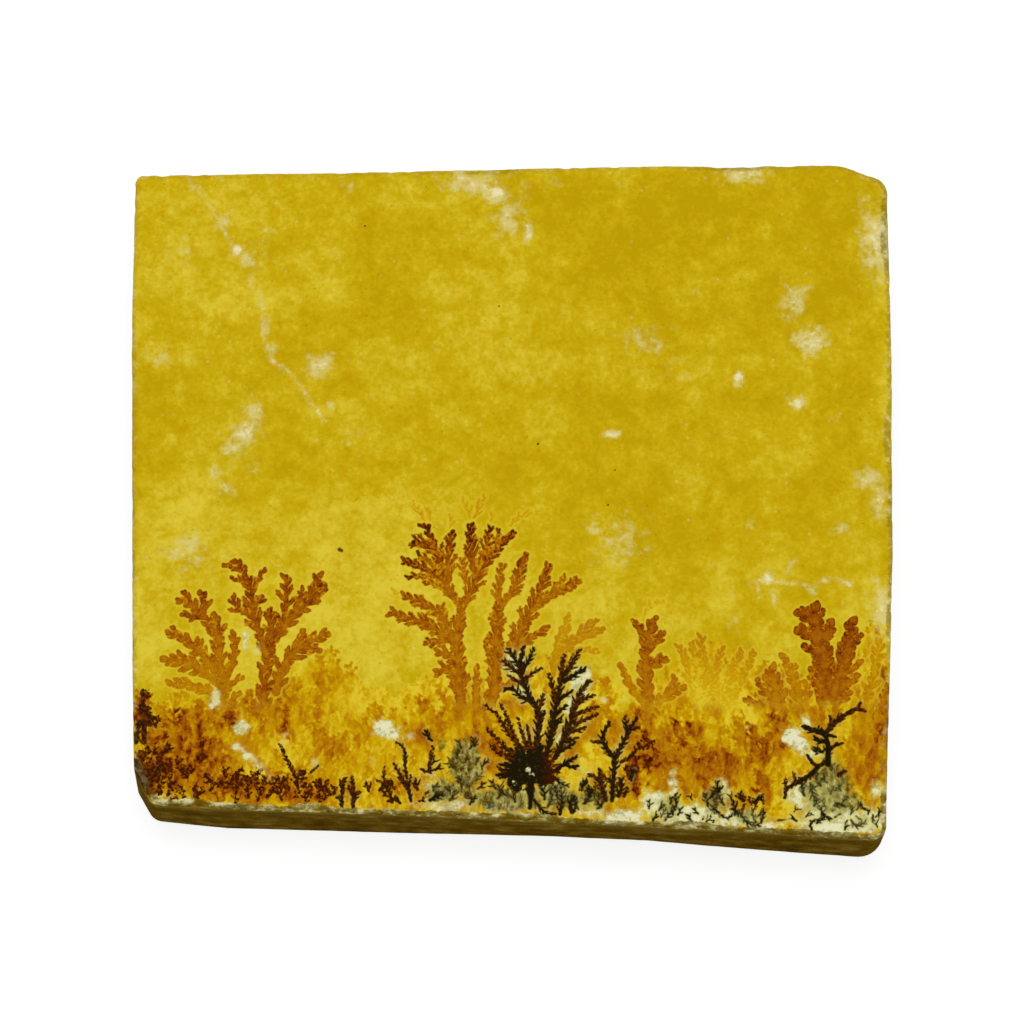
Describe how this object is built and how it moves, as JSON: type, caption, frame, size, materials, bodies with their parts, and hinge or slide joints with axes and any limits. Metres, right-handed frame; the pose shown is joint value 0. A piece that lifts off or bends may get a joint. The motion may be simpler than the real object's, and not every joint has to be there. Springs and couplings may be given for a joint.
{
  "type": "dendritic limestone slab",
  "caption": "Flat sawn slab of ochre limestone with mineral fern drawings along the near edge of its face, worn arrises, rounded corners and one broken corner.",
  "frame": {"origin": "centre of the bounding box on the surface that the slab lies on", "axes": "+Z out of the drawn face, +X along the long side to the right as the drawing stands, +Y up the drawing"},
  "size_m": [0.0806, 0.0734, 0.009],
  "materials": {
    "limestone": "fine-grained ochre limestone, honed on the drawn face and sawn on its sides and back"
  },
  "bodies": {
    "root": {"limestone_slab": "limestone"}
  },
  "joints": []
}
